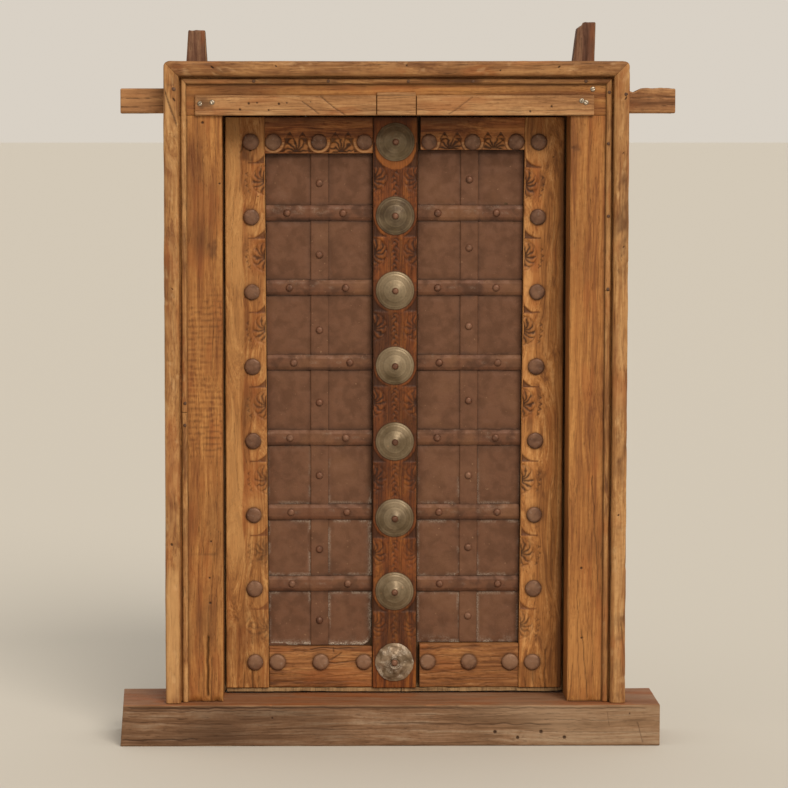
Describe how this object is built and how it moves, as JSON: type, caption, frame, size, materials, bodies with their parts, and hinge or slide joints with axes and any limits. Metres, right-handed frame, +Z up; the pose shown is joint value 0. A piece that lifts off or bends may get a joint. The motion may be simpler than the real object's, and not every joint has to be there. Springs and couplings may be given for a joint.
{
  "type": "wooden window frame",
  "caption": "Hardwood window frame with horned head and jambs and a deep sill, holding iron-faced boarded leaves that swing inwards on wooden pintles.",
  "frame": {"origin": "underside of the sill, half way through its depth, on the centre line of the opening", "axes": "+Z up, +Y back into the room, +X to the right as seen from outside"},
  "size_m": [1.114, 0.196, 1.451],
  "materials": {
    "frame_teak": "old waxed",
    "sill_teak": "weathered",
    "moulding_teak": "old waxed, worn",
    "batten_teak": "old waxed, pale",
    "stile_teak": "old waxed",
    "rail_teak": "dark waxed",
    "plank_teak": "bare, aged",
    "sheet_iron": "brown patinated",
    "strap_iron": "brown patinated",
    "forged_iron": "hammered, patinated",
    "aged_brass": "dull grey-green patina"
  },
  "bodies": {
    "frame": {"head_batten_left": "batten_teak", "head_batten_right": "batten_teak", "head_beam": "frame_teak", "head_centre_block": "batten_teak", "inner_bead_left_lower": "moulding_teak", "inner_bead_left_upper": "moulding_teak", "inner_bead_right_lower": "moulding_teak", "inner_bead_right_upper": "moulding_teak", "inner_bead_top": "moulding_teak", "jamb_left": "frame_teak", "jamb_right": "frame_teak", "outer_moulding_left": "moulding_teak", "outer_moulding_right": "moulding_teak", "outer_moulding_top": "moulding_teak", "sill_beam": "sill_teak"},
    "left_leaf": {"boss_nails": "forged_iron", "bosses": "aged_brass", "cover_strip": "rail_teak", "left_back_ledges": "plank_teak", "left_centre_strip": "sheet_iron", "left_dome_nails": "forged_iron", "left_foot_rail": "rail_teak", "left_hanging_plank": "plank_teak", "left_inner_plank": "plank_teak", "left_iron_sheet": "sheet_iron", "left_stile": "stile_teak", "left_strap_1": "strap_iron", "left_strap_2": "strap_iron", "left_strap_3": "strap_iron", "left_strap_4": "strap_iron", "left_strap_5": "strap_iron", "left_strap_6": "strap_iron", "left_studs": "forged_iron", "left_top_rail": "rail_teak"},
    "right_leaf": {"right_back_ledges": "plank_teak", "right_centre_strip": "sheet_iron", "right_dome_nails": "forged_iron", "right_foot_rail": "rail_teak", "right_hanging_plank": "plank_teak", "right_inner_plank": "plank_teak", "right_iron_sheet": "sheet_iron", "right_stile": "stile_teak", "right_strap_1": "strap_iron", "right_strap_2": "strap_iron", "right_strap_3": "strap_iron", "right_strap_4": "strap_iron", "right_strap_5": "strap_iron", "right_strap_6": "strap_iron", "right_studs": "forged_iron", "right_top_rail": "rail_teak"}
  },
  "joints": [
    {"name": "right_leaf_swing", "type": "hinge", "parent": "frame", "child": "right_leaf", "pos_m": [0.355, 0.067, 0.6], "axis": [0, 0, -1], "range_deg": [0, 95]},
    {"name": "left_leaf_swing", "type": "hinge", "parent": "frame", "child": "left_leaf", "pos_m": [-0.355, 0.067, 0.6], "axis": [0, 0, 1], "range_deg": [0, 70]}
  ],
  "couplings": [
    {"joint": "left_leaf_swing", "follows": "right_leaf_swing", "ratio": 0.7}
  ]
}
